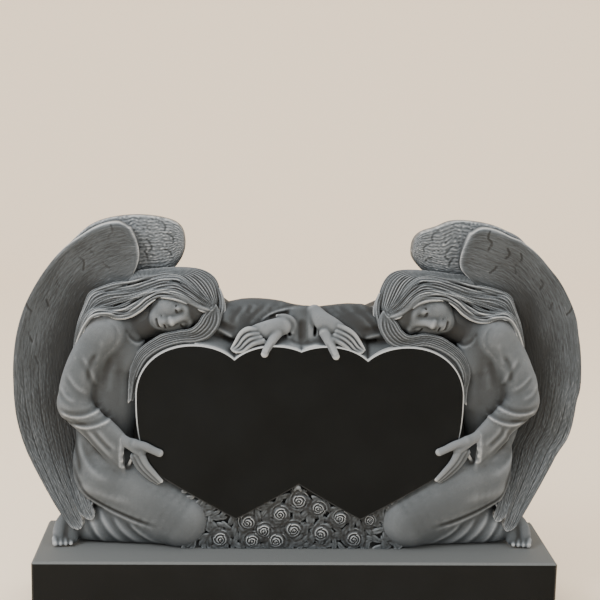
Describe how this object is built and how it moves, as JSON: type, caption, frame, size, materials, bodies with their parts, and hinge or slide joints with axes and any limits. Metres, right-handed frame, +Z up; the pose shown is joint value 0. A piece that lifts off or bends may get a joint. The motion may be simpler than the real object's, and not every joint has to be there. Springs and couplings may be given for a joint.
{
  "type": "companion headstone",
  "caption": "Carved memorial for two: kneeling winged angels lean over a polished double heart, with roses below, on a plain block base.",
  "frame": {"origin": "middle of the base block's underside, on the ground", "axes": "+X along the base to the viewer's right, +Y from the carved front to the back, +Z up"},
  "size_m": [1.6739, 0.356, 1.1733],
  "materials": {
    "frosted_granite": "carved and frosted black granite with a polished tablet",
    "polished_granite": "polished black granite"
  },
  "bodies": {
    "root": {"base": "polished_granite", "angel_stone": "frosted_granite"}
  },
  "joints": []
}
